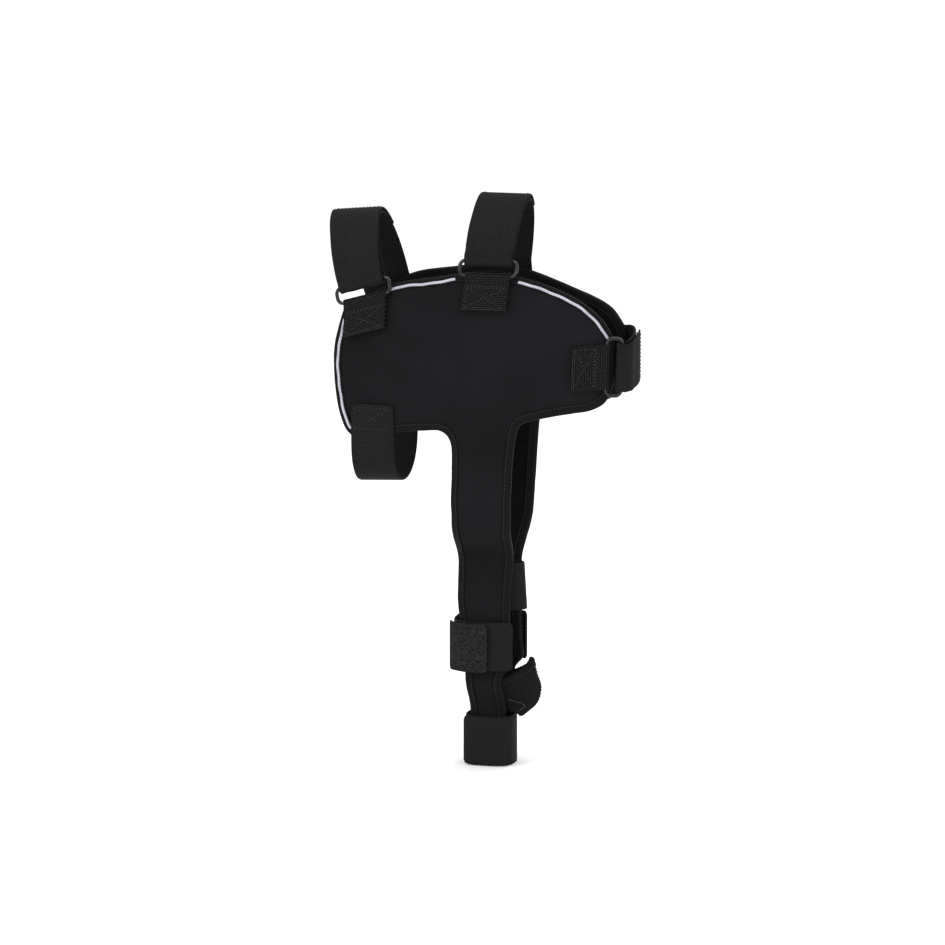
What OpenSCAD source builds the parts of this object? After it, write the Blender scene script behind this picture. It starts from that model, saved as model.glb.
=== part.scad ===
// Hind-leg brace for a dog, worn on the hip, thigh and hock. Two mirrored T-shaped neoprene
// panels lie on either side of the leg. Elastic straps join them over the back, round the rump
// and under the belly, and cuffs join them round the shin and below the hock.
// The origin is on the centre plane between the panels, at mid height of the hip part.
// +X points to the tail, -Y to the side with the rings, +Z up.

/* [Neoprene] */
// Thickness of the neoprene
neoprene_t = 4; // [3:0.5:5]
// How far the edge binding stands out beyond the neoprene
binding_w = 2.6; // [2:0.2:3]
// How far the binding stands proud of each face
binding_rise = 0.7; // [0.4:0.1:0.8]

/* [Shape of the wearer] */
// Half depth of the hip part where it is widest
hip_half = 42; // [38:1:46]
// How much slimmer the hip part is at its belly end
belly_taper = 9; // [6:1:12]
// How much slimmer the hip part is at its rump end
rump_taper = 17; // [14:1:20]
// Half depth of the thigh
thigh_half = 51; // [48:1:52]
// Half depth at the knee
knee_half = 21; // [20:1:24]
// Half depth at the shin and hock
shin_half = 26; // [24:1:26]
// Half depth below the hock
foot_half = 12.5; // [12:0.5:13]
// How far the leg part curves back towards its edges
leg_round = 5; // [4:0.5:6]
// How far the hip part leans in towards its top edge
top_lean = 9; // [0:1:12]

/* [Straps] */
// Width of the back straps
strap_w = 42; // [41:1:44]
// Width of a strap where its ring gathers it
gathered_w = 40; // [38:1:41]
// Thickness of the elastic
elastic_t = 1.8; // [1.4:0.1:2]
// Width of the webbing tabs
tab_w = 38; // [34:1:40]
// Thickness of the webbing
webbing_t = 1.4; // [1:0.1:1.6]
// Thickness of a hook patch
hook_t = 1.2; // [0.8:0.1:1.4]
// Height of the middle strap above the hip part
middle_rise = 52; // [44:1:54]
// Height of the front strap above its ring
front_rise = 56; // [48:1:58]
// How far the belly strap hangs below the hip part
belly_drop = 39; // [30:1:45]

/* [Rings] */
// Length of a ring between the centres of its ends
ring_w = 48; // [46:1:50]
// Distance between the centres of a ring's two bars
ring_h = 13; // [12:0.5:14]
// Radius of the ring's wire
wire_r = 1.5; // [1.2:0.1:1.6]

/* [Hidden] */

NEAR = -1;
FAR = 1;
black = [0.11, 0.11, 0.12];
charcoal = [0.17, 0.17, 0.19];
dark_grey = [0.24, 0.24, 0.25];
silver_grey = [0.72, 0.70, 0.76];
gap = 0.3;            // between pieces that touch in use
seat = 1.0;           // from the neoprene to a piece sewn over its binding
widest_x = -20;       // where the hip part is deepest
hip_front = -119;
hip_back = 117;
lean_z = 10;          // the hip part leans in above this height
top_z = 70;
far_drop = 6.5;       // how much lower the far panel's top edge sits towards the rump
columns = 14;

// The knee hinge: the shank panels end in a disc that turns in the hip panels' round hollow.
knee = [8, -150];
knee_r = 32;

// Half depth of the leg by height, and the front and back edges of its panels
LEG_HALF = [[-345, foot_half], [-305, foot_half + 0.3], [-275, shin_half], [-240, shin_half],
            [-178, knee_half], [-140, thigh_half - 4], [-118, thigh_half - 1], [-85, thigh_half]];
LEG_FRONT = [[-345, -5], [-305, -5.8], [-270, -7], [-235, -11.5], [-205, -15], [-125, -14.5],
             [-88, -13.5]];
LEG_BACK = [[-345, 20], [-305, 20], [-278, 19], [-270, 20], [-264, 28], [-240, 26],
            [-205, 26], [-125, 32], [-88, 34]];
// The hip part's outline from the thigh up, a row a line: front x and z, back x and z, and how
// far the row bulges up between them
HIP_ROWS = [
    [-14, -108, 33, -108, 0],
    [-13.5, -90, 34, -88, 0],
    [-14.5, -71, 37, -60, 0],
    [-24, -61, 42, -52, 0],
    [-43, -61, 59, -47, 2],
    [-68, -64, 79, -43, 5],
    [-93, -69, 97, -40, 9],
    [-103.5, -67, 106, -36, 13],
    [-109.5, -58, 111, -31, 17],
    [-115.5, -38, 115, -17, 24],
    [-117.8, -12, 116, 0, 30],
    [-116.5, 8, 116, 9, 35],
    [-109.5, 35, 114, 20, 42]
];
// How a bulging row rises and falls again from its front to its back
RISE = [[0, 0], [0.05, 0.15], [0.19, 0.583], [0.356, 0.795], [0.44, 0.907], [0.54, 0.98],
        [0.628, 0.976], [0.77, 0.833], [0.874, 0.621], [0.955, 0.326], [1, 0]];
SHANK_ROWS = [-347, -326, -306, -291, -279, -271, -264, -252, -240, -225, -210, -194, -178, -164,
              -152, -140];

// ---- Small functions ----
function mix(a, b, t) = a + (b - a) * t;
function ease(t) = let (c = min(max(t, 0), 1)) c * c * (3 - 2 * c);
function unit(v) = v / norm(v);
function flat(rows) = [for (row = rows) for (point = row) point];
function mirrored(p) = [p.x, -p.y, p.z];
// A value that eases from knot to knot
function glide(knots, at, i = 0) =
    at <= knots[0][0] ? knots[0][1] :
    i >= len(knots) - 1 ? knots[len(knots) - 1][1] :
    at > knots[i + 1][0] ? glide(knots, at, i + 1) :
    mix(knots[i][1], knots[i + 1][1],
        ease((at - knots[i][0]) / (knots[i + 1][0] - knots[i][0])));
// A smooth curve through points, steps to each interval
function curve_at(a, b, c, d, t) =
    0.5 * (2 * b + (c - a) * t + (2 * a - 5 * b + 4 * c - d) * t * t
           + (3 * b - a - 3 * c + d) * t * t * t);
function smooth(points, steps) = let (last = len(points) - 1) concat(
    [for (i = [0:last - 1], k = [0:steps - 1])
        curve_at(points[max(i - 1, 0)], points[i], points[i + 1],
                 points[min(i + 2, last)], k / steps)],
    [points[last]]);

// ---- The wearer's shape ----
function hip_depth(x, z) = (x < widest_x
    ? hip_half - belly_taper * pow((widest_x - x) / (widest_x - hip_front), 2)
    : hip_half - rump_taper * pow((x - widest_x) / (hip_back - widest_x), 2))
    - top_lean * pow(max(z - lean_z, 0) / (top_z - lean_z), 2);
function leg_depth(x, z) = let (
    middle = (glide(LEG_FRONT, z) + glide(LEG_BACK, z)) / 2,
    across = min(max((x - middle) / 25, -1.6), 1.6))
    glide(LEG_HALF, z) - leg_round * across * across;
// Half depth of the brace's outer face
function depth(x, z) = mix(leg_depth(x, z), hip_depth(x, z), ease((z + 80) / 50));
function normal(side, x, z) = unit([
    (depth(x - 1, z) - depth(x + 1, z)) / 2, side, (depth(x, z - 1) - depth(x, z + 1)) / 2]);
function drop(side, x, z) = side == FAR ? far_drop * ease((z - 30) / 30) * ease((x + 20) / 100) : 0;
// A point over the outer face, lifted along its normal
function over(side, x, z, lift) =
    [x, side * depth(x, z), z - drop(side, x, z)] + lift * normal(side, x, z);

// ---- Solids ----
// A closed shell between two grids of points
module shell(outer, inner) {
    rows = len(outer);
    cols = len(outer[0]);
    count = rows * cols;
    out = outer[0][0] - inner[0][0];
    turned = cross(outer[0][1] - outer[0][0], outer[1][0] - outer[0][0]) * out > 0;
    quads = [for (i = [0:rows - 2], j = [0:cols - 2])
        [i * cols + j, i * cols + j + 1, (i + 1) * cols + j + 1, (i + 1) * cols + j]];
    edge = concat(
        [for (j = [0:cols - 1]) j],
        [for (i = [1:rows - 1]) i * cols + cols - 1],
        [for (j = [cols - 2:-1:0]) (rows - 1) * cols + j],
        [for (i = [rows - 2:-1:1]) i * cols]);
    faces = concat(
        [for (q = quads) each [[q[0], q[1], q[2]], [q[0], q[2], q[3]]]],
        [for (q = quads) each [[q[2], q[1], q[0]], [q[3], q[2], q[0]]] + count * [[1, 1, 1], [1, 1, 1]]],
        [for (k = [0:len(edge) - 1]) let (a = edge[k], b = edge[(k + 1) % len(edge)])
            each [[b, a, a + count], [b, a + count, b + count]]]);
    polyhedron(
        points = concat(flat(outer), flat(inner)),
        faces = turned ? [for (f = faces) [f[2], f[1], f[0]]] : faces);
}

// A ribbon: each station is [centre, direction across, normal, half width]
module ribbon(stations, thickness) {
    shell(
        [for (s = stations) [s[0] + s[1] * s[3] + s[2] * thickness / 2,
                             s[0] - s[1] * s[3] + s[2] * thickness / 2]],
        [for (s = stations) [s[0] + s[1] * s[3] - s[2] * thickness / 2,
                             s[0] - s[1] * s[3] - s[2] * thickness / 2]]);
}
// Stations of a ribbon through centres, with its normal turned to the left of its path
function stations(centres, across, halves) = [for (i = [0:len(centres) - 1]) let (
    way = centres[min(i + 1, len(centres) - 1)] - centres[max(i - 1, 0)])
    [centres[i], across[i], unit(cross(across[i], way)), halves[i]]];
// A station list moved along its normals
function lifted(list, lifts) = [for (i = [0:len(list) - 1])
    [list[i][0] + list[i][2] * lifts[i], list[i][1], list[i][2], list[i][3]]];

// ---- Panels ----
rise_curve = smooth(RISE, 4);
// One row of points [x, z] between a front and a back point, bulging up
function row_points(row) = [for (j = [0:columns]) let (
    s = j / columns)
    [mix(row[0], row[2], s), mix(row[1], row[3], s) + row[4] * lookup(s, rise_curve)]];
function knee_row(radius) = [for (j = [0:columns]) let (
    x = mix(glide(LEG_FRONT, -125), glide(LEG_BACK, -130), j / columns))
    [x, knee[1] + sqrt(radius * radius - pow(x - knee[0], 2))]];
hip_curve = smooth(HIP_ROWS, 2);
hip_grid = concat([knee_row(knee_r + 2 * gap)], [for (row = hip_curve) row_points(row)]);
shank_grid = concat(
    [for (z = SHANK_ROWS) row_points([glide(LEG_FRONT, z), z, glide(LEG_BACK, z), z, 0])],
    [knee_row(knee_r)]);

module panel(grid, side) {
    color(charcoal) shell(
        [for (row = grid) [for (p = row) over(side, p[0], p[1], 0)]],
        [for (row = grid) [for (p = row) over(side, p[0], p[1], -neoprene_t)]]);
}
module near_hip_panel() panel(hip_grid, NEAR);
module far_hip_panel() panel(hip_grid, FAR);
module near_shank_panel() panel(shank_grid, NEAR);
module far_shank_panel() panel(shank_grid, FAR);

// ---- Edge binding and piping ----
top = len(hip_grid) - 1;
// Where the binding stops at the knee so that it clears the turning disc
function knee_stop(x, radius, reach) =
    knee[1] + sqrt(radius * radius - pow(abs(x - knee[0]) + reach, 2));
hip_edge = let (
    front = [for (i = [1:top]) hip_grid[i][0]],
    back = [for (i = [top:-1:1]) hip_grid[i][columns]],
    low_front = hip_grid[0][0], low_back = hip_grid[0][columns])
    concat([low_front + [0, gap]], front, [for (j = [1:columns - 1]) hip_grid[top][j]],
           back, [low_back + [0, gap]]);
shank_edge = let (
    last = len(SHANK_ROWS) - 1,
    front_x = glide(LEG_FRONT, -130), back_x = glide(LEG_BACK, -130))
    concat([[back_x, knee_stop(back_x, knee_r, binding_w + gap) - gap]],
           [for (i = [last:-1:0]) shank_grid[i][columns]],
           [for (j = [columns - 1:-1:1]) shank_grid[0][j]],
           [for (i = [0:last]) shank_grid[i][0]],
           [[front_x, knee_stop(front_x, knee_r, binding_w + gap) - gap]]);

// A strip along an edge, from one distance outside it to another, between two lifts
module edging(edge, side, from, to, low, high) {
    last = len(edge) - 1;
    outward = [for (i = [0:last]) let (
        a = edge[max(i - 1, 0)], b = edge[min(i + 1, last)],
        way = over(side, b[0], b[1], 0) - over(side, a[0], a[1], 0))
        -side * unit(cross(normal(side, edge[i][0], edge[i][1]), way))];
    shell(
        [for (i = [0:last]) [for (reach = [from, to])
            over(side, edge[i][0], edge[i][1], high) + outward[i] * reach]],
        [for (i = [0:last]) [for (reach = [from, to])
            over(side, edge[i][0], edge[i][1], low) + outward[i] * reach]]);
}
module binding(edge, side) {
    color(black) edging(edge, side, gap, gap + binding_w,
                        -neoprene_t - binding_rise, binding_rise);
}
module near_hip_binding() binding(hip_edge, NEAR);
module far_hip_binding() binding(hip_edge, FAR);
module near_shank_binding() binding(shank_edge, NEAR);
module far_shank_binding() binding(shank_edge, FAR);

// The piping lies inside the binding, in one run up the front and two along the top
module piping(side) {
    rump_end = side == FAR ? 25 : 17;
    runs = [
        [for (p = hip_edge) if (p[0] < -96 && p[1] > -55 && p[1] < 14) p],
        [for (p = hip_edge) if (p[0] > -72 && p[0] < -14 && p[1] > 40) p],
        [for (p = hip_edge) if (p[0] > 38 && p[1] > rump_end) p]
    ];
    for (run = runs) color(silver_grey) edging(run, side, -6.4, -4, gap, 1.4);
}
module near_reflective_piping() piping(NEAR);
module far_reflective_piping() piping(FAR);

// ---- Webbing tabs and rings ----
// A place on the near face: [point, across, along, out, how much higher the far end is sewn]
function place(x, z, turn, far_up = 0) = let (
    out = normal(NEAR, x, z),
    lean = [-sin(turn), 0, cos(turn)],
    along = unit(lean - (lean * out) * out))
    [over(NEAR, x, z, 0), cross(along, out), along, out, far_up];
front_place = place(-91, 45.5, 16);
middle_place = place(13, 67, 0, -drop(FAR, 13, 67));
rump_place = place(111.5, -5, -92, 6);
function spot(f, across, along, out) = f[0] + f[1] * across + f[2] * along + f[3] * out;
module at(f) {
    multmatrix([
        [f[1].x, f[2].x, f[3].x, f[0].x],
        [f[1].y, f[2].y, f[3].y, f[0].y],
        [f[1].z, f[2].z, f[3].z, f[0].z]]) children();
}
fold_r = wire_r + gap;                  // inside radius of a tab's fold
bar_lift = seat + webbing_t + fold_r;   // from the neoprene to a ring's bar
loop_r = wire_r + 1.7;                  // inside radius of a strap's fold
tab_l = 29;

module ring_tab(f) {
    color(dark_grey) at(f) rotate([90, 0, 90]) translate([0, 0, -tab_w / 2])
        linear_extrude(tab_w) {
            translate([0, bar_lift]) difference() {
                circle(r = fold_r + webbing_t, $fn = 48);
                circle(r = fold_r, $fn = 48);
                translate([-10, -5]) square([10, 10]);
            }
            translate([-tab_l, seat]) square([tab_l, webbing_t]);
            polygon([
                [0, bar_lift + fold_r], [0, bar_lift + fold_r + webbing_t],
                [-9, seat + 2 * webbing_t + 0.1], [-tab_l, seat + 2 * webbing_t + 0.1],
                [-tab_l, seat + webbing_t + 0.1], [-8.6, seat + webbing_t + 0.1]]);
        }
}
module front_ring_tab() ring_tab(front_place);
module middle_ring_tab() ring_tab(middle_place);
module rump_ring_tab() ring_tab(rump_place);

module ring(f) {
    corner_r = 5;
    half = [ring_w / 2 - corner_r, ring_h / 2 - corner_r];
    color(black) at(f) translate([0, ring_h / 2, bar_lift]) {
        for (s = [-1, 1]) {
            translate([-half.x, s * ring_h / 2, 0]) rotate([0, 90, 0])
                cylinder(r = wire_r, h = 2 * half.x, $fn = 32);
            translate([s * ring_w / 2, -half.y, 0]) rotate([-90, 0, 0])
                cylinder(r = wire_r, h = 2 * half.y, $fn = 32);
        }
        for (c = [[1, 1, 0], [-1, 1, 90], [-1, -1, 180], [1, -1, 270]])
            translate([c[0] * half.x, c[1] * half.y, 0]) rotate([0, 0, c[2]])
                rotate_extrude(angle = 90, $fn = 48) translate([corner_r, 0])
                    circle(r = wire_r, $fn = 32);
    }
}
module front_ring() ring(front_place);
module middle_ring() ring(middle_place);
module rump_ring() ring(rump_place);

// ---- Straps through the rings ----
// Each runs from its stub above the ring, round the ring's outer bar, over to the far panel
// and down its outer face. Its tongue is the free end that folds back over it.
steps = 20;
fold_mid = loop_r + elastic_t / 2;
far_lift = seat + elastic_t / 2;
stub_l = 3;
function far_place(f) = [mirrored(f[0]) + [0, 0, f[4]], mirrored(f[1]), mirrored(f[2]), mirrored(f[3])];
function fold_centres(f) = concat(
    [spot(f, 0, ring_h + stub_l, bar_lift + fold_mid)],
    [for (a = [0:22.5:180])
        spot(f, 0, ring_h - fold_mid * sin(a), bar_lift + fold_mid * cos(a))]);
// The arch from the ring to the far panel: it stands out by rise and leans by drift
function arch(f, rise, drift, far_along) = let (
    a = spot(f, 0, ring_h, bar_lift - fold_mid),
    b = spot(far_place(f), 0, far_along, far_lift))
    [for (i = [1:steps]) let (t = i / steps, mid = mix(a, b, (1 - cos(180 * t)) / 2))
        mid + (rise + drift) * sin(180 * t)];
function arch_across(f, crown) = [for (i = [1:steps]) let (t = i / steps)
    unit(t < 0.5 ? mix(f[1], crown, ease(2 * t))
                 : mix(crown, mirrored(f[1]), ease(2 * t - 1)))];
function strap_half(t) = mix(gathered_w, strap_w, ease(5 * t)) / 2;
function strap_stations(f, rise, drift, far_along, crown, far_l) = let (
    fold = fold_centres(f),
    span = arch(f, rise, drift, far_along),
    down = [for (k = [1:3]) spot(far_place(f), 0, far_along - k * (far_along + far_l) / 3, far_lift)])
    stations(
        concat(fold, span, down),
        concat([for (p = fold) f[1]], arch_across(f, crown), [for (p = down) mirrored(f[1])]),
        concat([for (p = fold) gathered_w / 2], [for (i = [1:steps]) strap_half(i / steps)],
               [for (p = down) strap_w / 2]));
// The tongue lies over the arch, from its hinge line beside the ring to part of the way down
tongue_lift = elastic_t + hook_t + 2 * gap;
function tongue_stations(f, rise, drift, far_along, crown, to) = let (
    fold = fold_centres(f),
    hinge = spot(f, 0, ring_h + stub_l + elastic_t / 2 + gap, bar_lift + fold_mid),
    list = stations(arch(f, rise, drift, far_along), arch_across(f, crown),
                    [for (i = [1:steps]) strap_half(i / steps)]),
    used = [for (i = [1:round(to * steps)]) list[i - 1]],
    over_it = lifted(used, [for (i = [1:len(used)])
        mix(2 * fold_mid, tongue_lift, ease((i - 0.5) / 5))]),
    first = [hinge, f[1], f[3], gathered_w / 2])
    concat([first], [for (s = over_it) s]);
// A hook patch between the tongue's end and the strap
function patch_stations(tongue, count, inset) = let (n = len(tongue))
    [for (i = [n - count:n - 1]) let (s = tongue[i])
        [s[0] - s[2] * (elastic_t / 2 + gap + hook_t / 2), s[1], s[2], s[3] - inset]];

front_rise_v = [0, 0, front_rise];
middle_rise_v = [0, 0, middle_rise];
rump_rise_v = [9.5, 0, 0];
front_drift = [-14, 0, 0];
middle_drift = [6.5, 0, 0];
rump_drift = [0, 0, 2];
front_main = strap_stations(front_place, front_rise_v, front_drift, 8, [1, 0, 0.09], 28);
middle_main = strap_stations(middle_place, middle_rise_v, middle_drift, 8, [1, 0, 0], 28);
rump_main = strap_stations(rump_place, rump_rise_v, rump_drift, 4, [0, 0, -1], 34);
front_tongue = tongue_stations(front_place, front_rise_v, front_drift, 8, [1, 0, 0.09], 0.75);
middle_tongue = tongue_stations(middle_place, middle_rise_v, middle_drift, 8, [1, 0, 0], 0.7);
rump_tongue = tongue_stations(rump_place, rump_rise_v, rump_drift, 4, [0, 0, -1], 0.6);

module strap(list) color(dark_grey) ribbon(list, elastic_t);
module hook_patch(list) color(charcoal) ribbon(patch_stations(list, 5, 2), hook_t);
module front_strap() strap(front_main);
module middle_strap() strap(middle_main);
module rump_strap() strap(rump_main);
module front_strap_tongue() strap(front_tongue);
module middle_strap_tongue() strap(middle_tongue);
module rump_strap_tongue() strap(rump_tongue);
module front_hook_patch() hook_patch(front_tongue);
module middle_hook_patch() hook_patch(middle_tongue);
module rump_hook_patch() hook_patch(rump_tongue);

// ---- Belly strap ----
belly_x = -85;
belly_w = 37;
module belly_strap() {
    heights = [-43:-8:-67];
    sewn = [for (z = heights) over(NEAR, belly_x, z, far_lift)];
    tilts = [for (z = heights) unit(over(NEAR, belly_x + 1, z, 0) - over(NEAR, belly_x - 1, z, 0))];
    start = over(NEAR, belly_x, -73, far_lift);
    loop = [for (i = [0:steps]) let (t = i / steps)
        [belly_x, start.y * cos(180 * t), start.z - belly_drop * sin(180 * t)]];
    low_tilt = tilts[len(tilts) - 1];
    loop_tilts = [for (i = [0:steps]) [low_tilt.x, low_tilt.y * cos(180 * i / steps), 0]];
    last = len(sewn) - 1;
    centres = concat(sewn, loop, [for (i = [last:-1:0]) mirrored(sewn[i])]);
    across = concat(tilts, loop_tilts, [for (i = [last:-1:0]) mirrored(tilts[i])]);
    color(dark_grey) ribbon(
        stations(centres, across, [for (c = centres) belly_w / 2]), elastic_t);
}

// ---- Calf band ----
calf_z = [-218, -178];
calf_reach = [18.5, 17.5, 11.2];    // centre x, how far it reaches back, half depth
module calf_band() {
    loop = [for (a = [-90:11.25:90])
        [calf_reach[0] + calf_reach[1] * cos(a), calf_reach[2] * sin(a), (calf_z[0] + calf_z[1]) / 2]];
    color(dark_grey) ribbon(
        stations(loop, [for (c = loop) unit([-0.06, 0, 1])],
                 [for (c = loop) (calf_z[1] - calf_z[0]) / 2]),
        elastic_t);
}

// ---- Cuffs ----
// A rounded loop about a centre, by angle: 0 at the back, 90 on the far side, 270 on the near side
function cuff_point(c, a) = let (p = 2 / 3.2) [
    c[0] + c[1] * sign(cos(a)) * pow(abs(cos(a)), p),
    c[2] * sign(sin(a)) * pow(abs(sin(a)), p)];
shin = [8, 30, 32.3, -266, -225];     // centre x, half length, half depth, bottom, top
foot = [7.5, 20.8, 18, -350, -308];
module cuff(c) {
    points = [for (a = [0:7.5:352.5]) cuff_point(c, a)];
    thin = [c[0], c[1] - elastic_t, c[2] - elastic_t];
    color(dark_grey) translate([0, 0, c[3]]) linear_extrude(c[4] - c[3]) difference() {
        polygon(points);
        polygon([for (a = [0:7.5:352.5]) cuff_point(thin, a)]);
    }
}
function grown(c, by) = [c[0], c[1] + by, c[2] + by];
// A flap over part of a cuff, between two angles and two distances from its face
module flap(c, from, to, low, high, bottom, top, count = 12) {
    angles = [for (i = [0:count]) mix(from, to, i / count)];
    translate([0, 0, bottom]) linear_extrude(top - bottom) polygon(concat(
        [for (a = angles) cuff_point(grown(c, high), a)],
        [for (i = [count:-1:0]) cuff_point(grown(c, low), angles[i])]));
}
flap_low = hook_t + 2 * gap;
// The shin cuff is open at the back: its ends are sewn to the panels' outer faces
module shin_cuff() color(dark_grey) flap(shin, 45, 315, -elastic_t, 0, shin[3], shin[4], 36);
module shin_cuff_tongue() color(charcoal)
    flap(shin, 205, 272, flap_low, flap_low + elastic_t, shin[3] - 1.5, shin[4] - 1);
module shin_hook_patch() color(charcoal)
    flap(shin, 232, 270, gap, gap + hook_t, shin[3] + 1.5, shin[4] - 3);
module foot_cuff() cuff(foot);
module foot_cuff_tongue() color(dark_grey)
    flap(foot, 322, 222, flap_low, flap_low + elastic_t, foot[3] + 1, foot[4]);
module foot_hook_patch() color(charcoal)
    flap(foot, 290, 224, gap, gap + hook_t, foot[3] + 3, foot[4] - 2);

// ---- Hock cup ----
// Its edge behind the panel and its ridge on the centre plane, from the top down: x and z
CUP_EDGE = [[16, -279], [16, -286], [17, -293], [19, -300], [23.5, -305]];
CUP_RIDGE = [[44, -261], [47, -272], [50.5, -284], [47, -298], [34.5, -310]];
cup_t = 3;
cup_half = 19.5;
cup_rows = [for (i = [0:len(CUP_EDGE) - 1]) [CUP_EDGE[i][0], CUP_EDGE[i][1], CUP_RIDGE[i][0], CUP_RIDGE[i][1]]];
cup_curve = smooth(cup_rows, 2);
function cup_point(row, s, inset, side) = let (
    inside = depth(row[0], row[1]) - neoprene_t - 2 * binding_rise - 2 * gap,
    half = min(cup_half, inside))
    [mix(row[0], row[2] - inset, sin(90 * s)), side * (half - inset) * cos(90 * s), mix(row[1], row[3], s)];
module hock_cup(side) {
    last = 0.985;   // stops just short of the centre seam
    color(charcoal) shell(
        [for (row = cup_curve) [for (k = [0:10]) cup_point(row, last * k / 10, 0, side)]],
        [for (row = cup_curve) [for (k = [0:10]) cup_point(row, last * k / 10, cup_t, side)]]);
}
module near_hock_cup() hock_cup(NEAR);
module far_hock_cup() hock_cup(FAR);
module hock_cup_binding() {
    row = cup_curve[0];
    rise = [0, 0, gap];
    angles = concat([for (k = [0:10]) [k / 10, NEAR]], [for (k = [9:-1:0]) [k / 10, FAR]]);
    outer = [for (a = angles) cup_point(row, a[0], -binding_rise, a[1]) + rise];
    inner = [for (a = angles) cup_point(row, a[0], cup_t + binding_rise, a[1]) + rise];
    tall = [0, 0, binding_w];
    color(black) shell([for (p = outer) [p, p + tall]], [for (p = inner) [p, p + tall]]);
}

near_hip_panel();
far_hip_panel();
near_shank_panel();
far_shank_panel();
near_hip_binding();
far_hip_binding();
near_shank_binding();
far_shank_binding();
near_reflective_piping();
far_reflective_piping();
front_ring_tab();
middle_ring_tab();
rump_ring_tab();
front_ring();
middle_ring();
rump_ring();
front_strap();
middle_strap();
rump_strap();
front_strap_tongue();
middle_strap_tongue();
rump_strap_tongue();
front_hook_patch();
middle_hook_patch();
rump_hook_patch();
belly_strap();
calf_band();
shin_cuff();
shin_cuff_tongue();
shin_hook_patch();
foot_cuff();
foot_cuff_tongue();
foot_hook_patch();
near_hock_cup();
far_hock_cup();
hock_cup_binding();
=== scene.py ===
"""Looks of the dog hind-leg brace: neoprene, bindings, webbing, elastic, stitching and studio.

Sizes are in millimetres and repeat the CAD source's driving values; meshes are written in metres.
"""

import math

import bpy
import numpy as np
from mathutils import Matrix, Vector, noise


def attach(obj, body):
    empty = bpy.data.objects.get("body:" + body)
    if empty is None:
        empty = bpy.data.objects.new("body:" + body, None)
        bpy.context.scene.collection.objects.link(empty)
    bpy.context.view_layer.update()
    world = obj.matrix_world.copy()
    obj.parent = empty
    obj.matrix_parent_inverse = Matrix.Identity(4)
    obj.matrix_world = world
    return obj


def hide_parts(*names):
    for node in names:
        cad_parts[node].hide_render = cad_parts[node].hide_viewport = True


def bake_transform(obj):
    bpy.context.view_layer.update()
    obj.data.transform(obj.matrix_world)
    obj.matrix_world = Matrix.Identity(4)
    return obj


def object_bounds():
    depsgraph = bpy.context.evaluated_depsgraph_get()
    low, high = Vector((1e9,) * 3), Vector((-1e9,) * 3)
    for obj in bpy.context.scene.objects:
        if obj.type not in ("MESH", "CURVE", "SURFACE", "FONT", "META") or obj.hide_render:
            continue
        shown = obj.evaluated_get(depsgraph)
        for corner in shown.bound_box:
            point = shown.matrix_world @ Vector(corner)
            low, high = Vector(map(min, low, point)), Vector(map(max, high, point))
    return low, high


MM = 0.001
NEAR, FAR = -1, 1

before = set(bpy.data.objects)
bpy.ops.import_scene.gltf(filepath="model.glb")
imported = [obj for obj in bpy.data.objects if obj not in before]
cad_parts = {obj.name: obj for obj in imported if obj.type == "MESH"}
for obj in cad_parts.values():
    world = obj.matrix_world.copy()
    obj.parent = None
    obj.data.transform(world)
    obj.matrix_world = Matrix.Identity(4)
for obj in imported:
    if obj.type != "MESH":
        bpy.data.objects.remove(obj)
cad_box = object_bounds()

# ---- Driving sizes, as in the CAD source ----
NEOPRENE_T = 4.0
BINDING_OUT = 2.9      # how far the binding reaches beyond the neoprene's edge
BINDING_IN = 4.4       # and how far over the face
BINDING_RISE = 0.9
STITCH_IN = 3.3        # the edge stitching's distance inside the neoprene's edge
ELASTIC_T, WEBBING_T, HOOK_T = 1.8, 1.4, 1.2
STRAP_W, GATHERED_W, TAB_W, BELLY_W = 42.0, 40.0, 38.0, 37.0
WIRE_R, RING_H = 1.5, 13.0
GAP, SEAT = 0.3, 1.0
HIP_HALF, BELLY_TAPER, RUMP_TAPER, TOP_LEAN = 42.0, 9.0, 17.0, 9.0
WIDEST_X, HIP_FRONT, HIP_BACK, LEAN_Z, TOP_Z, FAR_DROP = -20.0, -119.0, 117.0, 10.0, 70.0, 6.5
LEG_ROUND = 5.0
LEG_HALF = [
    (-345, 12.5), (-305, 12.8), (-275, 26), (-240, 26), (-178, 21), (-140, 47), (-118, 50),
    (-85, 51),
]
LEG_FRONT = [
    (-345, -5), (-305, -5.8), (-270, -7), (-235, -11.5), (-205, -15), (-125, -14.5),
    (-88, -13.5),
]
LEG_BACK = [
    (-345, 20), (-305, 20), (-278, 19), (-270, 20), (-264, 28), (-240, 26), (-205, 26), (-125, 32),
    (-88, 34),
]
HIP_ROWS = [
    (-14, -108, 33, -108, 0), (-13.5, -90, 34, -88, 0), (-14.5, -71, 37, -60, 0),
    (-24, -61, 42, -52, 0), (-43, -61, 59, -47, 2), (-68, -64, 79, -43, 5),
    (-93, -69, 97, -40, 9), (-103.5, -67, 106, -36, 13), (-109.5, -58, 111, -31, 17),
    (-115.5, -38, 115, -17, 24), (-117.8, -12, 116, 0, 30), (-116.5, 8, 116, 9, 35),
    (-109.5, 35, 114, 20, 42),
]
RISE = [
    (0, 0), (0.05, 0.15), (0.19, 0.583), (0.356, 0.795), (0.44, 0.907), (0.54, 0.98),
    (0.628, 0.976), (0.77, 0.833), (0.874, 0.621), (0.955, 0.326), (1, 0),
]
FOOT_END, LEG_TOP = -347, -112


# ---- Small functions ----
def mix(a, b, t):
    return a + (b - a) * t


def ease(t):
    c = min(max(t, 0.0), 1.0)
    return c * c * (3 - 2 * c)


def unit(v):
    return v / np.linalg.norm(v)


def vec(*numbers):
    return np.array(numbers, float)


def mirrored(p):
    return vec(p[0], -p[1], p[2])


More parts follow.
